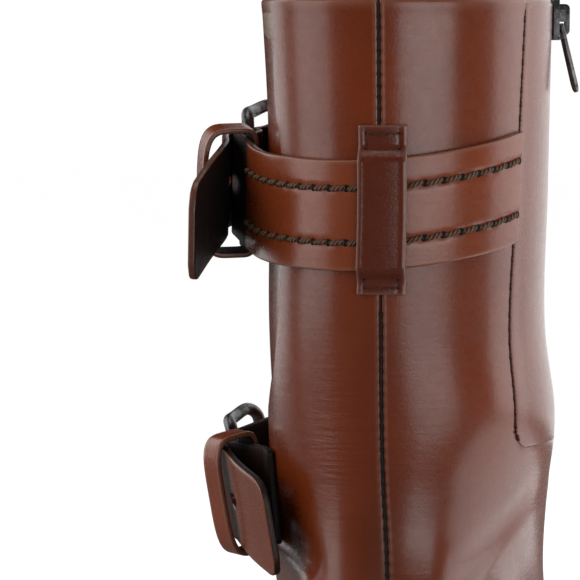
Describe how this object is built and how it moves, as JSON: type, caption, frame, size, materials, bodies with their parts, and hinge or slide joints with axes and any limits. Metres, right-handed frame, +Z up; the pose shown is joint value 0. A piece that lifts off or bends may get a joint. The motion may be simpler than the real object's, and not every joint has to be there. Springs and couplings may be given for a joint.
{
  "type": "strapped mid-calf boot",
  "caption": "Left mid-calf leather boot with a low stacked heel, an inner side zip and buckled straps at calf and ankle; hollow, open at the collar.",
  "frame": {"origin": "middle of the heel's underside, on the floor", "axes": "+Z up, +Y toward the toe, +X toward the inner side of the foot, where the zip is"},
  "size_m": [0.126, 0.2804, 0.2851],
  "materials": {
    "chestnut_leather": "polished chestnut brown with darker seams",
    "strap_leather": "polished chestnut brown",
    "keeper_leather": "waxed dark brown",
    "stacked_heel": "waxed dark brown edge",
    "sole_rubber": "matt",
    "insole_leather": "plain tan",
    "buckle_metal": "antiqued dark nickel",
    "zip_metal": "gunmetal"
  },
  "bodies": {
    "boot": {"upper": "chestnut_leather", "zip_placket": "chestnut_leather", "calf_back_strap": "strap_leather", "calf_front_strap": "strap_leather", "ankle_buckle_tab": "strap_leather", "ankle_strap": "strap_leather", "calf_strap_keeper": "strap_leather", "ankle_strap_keeper": "strap_leather", "back_keeper": "keeper_leather", "welt": "stacked_heel", "heel": "stacked_heel", "outsole": "sole_rubber", "heel_top_lift": "sole_rubber", "insole": "insole_leather", "calf_buckle_frame": "buckle_metal", "calf_buckle_prong": "buckle_metal", "ankle_buckle_frame": "buckle_metal", "ankle_buckle_prong": "buckle_metal", "zip_chain": "zip_metal", "zip_slider": "zip_metal"},
    "zip_pull": {"zip_pull_tab": "zip_metal"}
  },
  "joints": [
    {"name": "zip_pull_hinge", "type": "hinge", "parent": "boot", "child": "zip_pull", "pos_m": [0.05037, 0.03609, 0.27606], "axis": [0.2731, -0.962, 0], "range_deg": [0, 115]}
  ]
}
